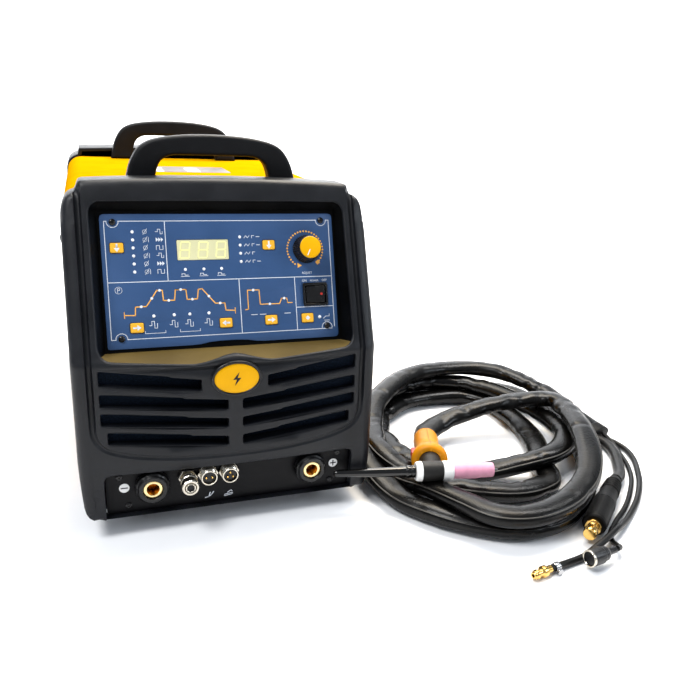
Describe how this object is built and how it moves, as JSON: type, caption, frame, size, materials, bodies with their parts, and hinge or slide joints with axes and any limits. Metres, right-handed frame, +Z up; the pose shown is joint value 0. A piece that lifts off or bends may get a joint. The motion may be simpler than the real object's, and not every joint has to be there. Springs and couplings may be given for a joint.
{
  "type": "tig welding machine",
  "caption": "Portable inverter TIG welding machine with handles, a sloped control panel, louvred front, weld and gas sockets, and a torch on a coiled lead.",
  "frame": {"origin": "centre of the base tray's flat underside", "axes": "+X to the machine's right as seen from its front panel, +Y towards its rear, +Z up"},
  "size_m": [0.6379, 0.7379, 0.3591],
  "materials": {
    "black_plastic": "moulded black plastic, satin",
    "yellow_paint": "gloss yellow powder coat",
    "blue_panel": "printed blue front film on sheet",
    "yellow_plastic": "moulded yellow plastic",
    "sheet_steel": "plated sheet steel",
    "black_paint": "black powder coat",
    "brass": "turned brass",
    "nickel": "nickel plate",
    "rubber": "matte black rubber",
    "filter_foam": "open cell filter foam",
    "circuit_board": "green circuit board with its parts",
    "aluminium": "extruded aluminium",
    "copper": "lacquered copper winding",
    "ferrite": "wrapped transformer",
    "pink_ceramic": "unglazed pink alumina",
    "white_plastic": "white heat-resistant plastic",
    "red_plastic": "red plastic",
    "tungsten": "ground tungsten",
    "lead_sheath": "black woven sleeve"
  },
  "bodies": {
    "machine": {"front_bezel": "black_plastic", "rear_bezel": "black_plastic", "front_handle": "black_plastic", "rear_handle": "black_plastic", "switch_housing": "black_plastic", "negative_socket_housing": "black_plastic", "positive_socket_housing": "black_plastic", "fan_frame": "black_plastic", "mains_gland": "black_plastic", "case_cover": "yellow_paint", "control_panel": "blue_panel", "badge": "yellow_plastic", "base_tray": "sheet_steel", "board_shelf": "sheet_steel", "connection_panel": "black_paint", "negative_socket_contact": "brass", "positive_socket_contact": "brass", "gas_inlet": "brass", "gas_valve": "brass", "dial_pot": "nickel", "gas_outlet_body": "nickel", "two_pin_socket": "nickel", "three_pin_socket": "nickel", "foot_front_left": "rubber", "foot_front_right": "rubber", "foot_rear_left": "rubber", "foot_rear_right": "rubber", "front_filter": "filter_foam", "control_board": "circuit_board", "main_board": "circuit_board", "hf_unit": "circuit_board", "heatsink": "aluminium", "output_choke": "copper", "transformer": "ferrite"},
    "torch_set": {"torch_handle": "yellow_plastic", "torch_head": "black_plastic", "cup_gasket": "white_plastic", "electrode": "tungsten", "torch_lead_coil": "lead_sheath", "torch_lead_run": "lead_sheath", "power_cable": "rubber", "gas_hose": "rubber", "control_cable": "rubber", "power_plug_boot": "rubber", "power_plug_pin": "brass", "gas_hose_fitting": "brass", "control_plug": "black_plastic"},
    "knob": {"knob": "black_plastic"},
    "switch_rocker": {"switch_rocker": "black_plastic"},
    "fan_rotor": {"fan_rotor": "black_plastic"},
    "gas_outlet_sleeve": {"gas_outlet_sleeve": "nickel"},
    "torch_trigger": {"torch_trigger": "red_plastic"},
    "back_cap": {"back_cap": "black_plastic"},
    "ceramic_cup": {"ceramic_cup": "pink_ceramic"},
    "button_mode": {"button_mode": "yellow_plastic"},
    "button_display": {"button_display": "yellow_plastic"},
    "button_next": {"button_next": "yellow_plastic"},
    "button_previous": {"button_previous": "yellow_plastic"},
    "button_waveform": {"button_waveform": "yellow_plastic"},
    "button_remote": {"button_remote": "yellow_plastic"}
  },
  "joints": [
    {"name": "knob_turn", "type": "hinge", "parent": "machine", "child": "knob", "pos_m": [0.08, -0.21964, 0.23864], "axis": [0, -0.9455, 0.3256], "range_deg": [-270, 0]},
    {"name": "power_rocker", "type": "hinge", "parent": "machine", "child": "switch_rocker", "pos_m": [0.0863, -0.23386, 0.19732], "axis": [0, 0.3256, 0.9455], "range_deg": [0, 12]},
    {"name": "fan_spin", "type": "hinge", "parent": "machine", "child": "fan_rotor", "pos_m": [0, 0.235, 0.15], "axis": [0, 1, 0], "continuous": true},
    {"name": "gas_sleeve_pull", "type": "slide", "parent": "machine", "child": "gas_outlet_sleeve", "axis": [0, 1, 0], "range_m": [0, 0.004], "stiffness_N_per_m": 400, "springref_m": -0.003},
    {"name": "torch_lift", "type": "slide", "parent": "machine", "child": "torch_set", "axis": [0, 0, 1], "range_m": [0, 0.25]},
    {"name": "torch_trigger_press", "type": "slide", "parent": "torch_set", "child": "torch_trigger", "axis": [0.9239, -0.3827, 0], "range_m": [0, 0.0025], "stiffness_N_per_m": 500, "springref_m": -0.003},
    {"name": "back_cap_turn", "type": "hinge", "parent": "torch_set", "child": "back_cap", "pos_m": [0.1985, -0.2975, 0.022], "axis": [0.9799, -0.1994, 0], "range_deg": [0, 360]},
    {"name": "cup_turn", "type": "hinge", "parent": "torch_set", "child": "ceramic_cup", "pos_m": [0.1985, -0.2975, 0.022], "axis": [0.9799, -0.1994, 0], "range_deg": [0, 360]},
    {"name": "button_mode_press", "type": "slide", "parent": "machine", "child": "button_mode", "axis": [0, 0.9455, -0.3256], "range_m": [0, 0.001], "stiffness_N_per_m": 400, "springref_m": -0.0015},
    {"name": "button_display_press", "type": "slide", "parent": "machine", "child": "button_display", "axis": [0, 0.9455, -0.3256], "range_m": [0, 0.001], "stiffness_N_per_m": 400, "springref_m": -0.0015},
    {"name": "button_next_press", "type": "slide", "parent": "machine", "child": "button_next", "axis": [0, 0.9455, -0.3256], "range_m": [0, 0.001], "stiffness_N_per_m": 400, "springref_m": -0.0015},
    {"name": "button_previous_press", "type": "slide", "parent": "machine", "child": "button_previous", "axis": [0, 0.9455, -0.3256], "range_m": [0, 0.001], "stiffness_N_per_m": 400, "springref_m": -0.0015},
    {"name": "button_waveform_press", "type": "slide", "parent": "machine", "child": "button_waveform", "axis": [0, 0.9455, -0.3256], "range_m": [0, 0.001], "stiffness_N_per_m": 400, "springref_m": -0.0015},
    {"name": "button_remote_press", "type": "slide", "parent": "machine", "child": "button_remote", "axis": [0, 0.9455, -0.3256], "range_m": [0, 0.001], "stiffness_N_per_m": 400, "springref_m": -0.0015}
  ]
}
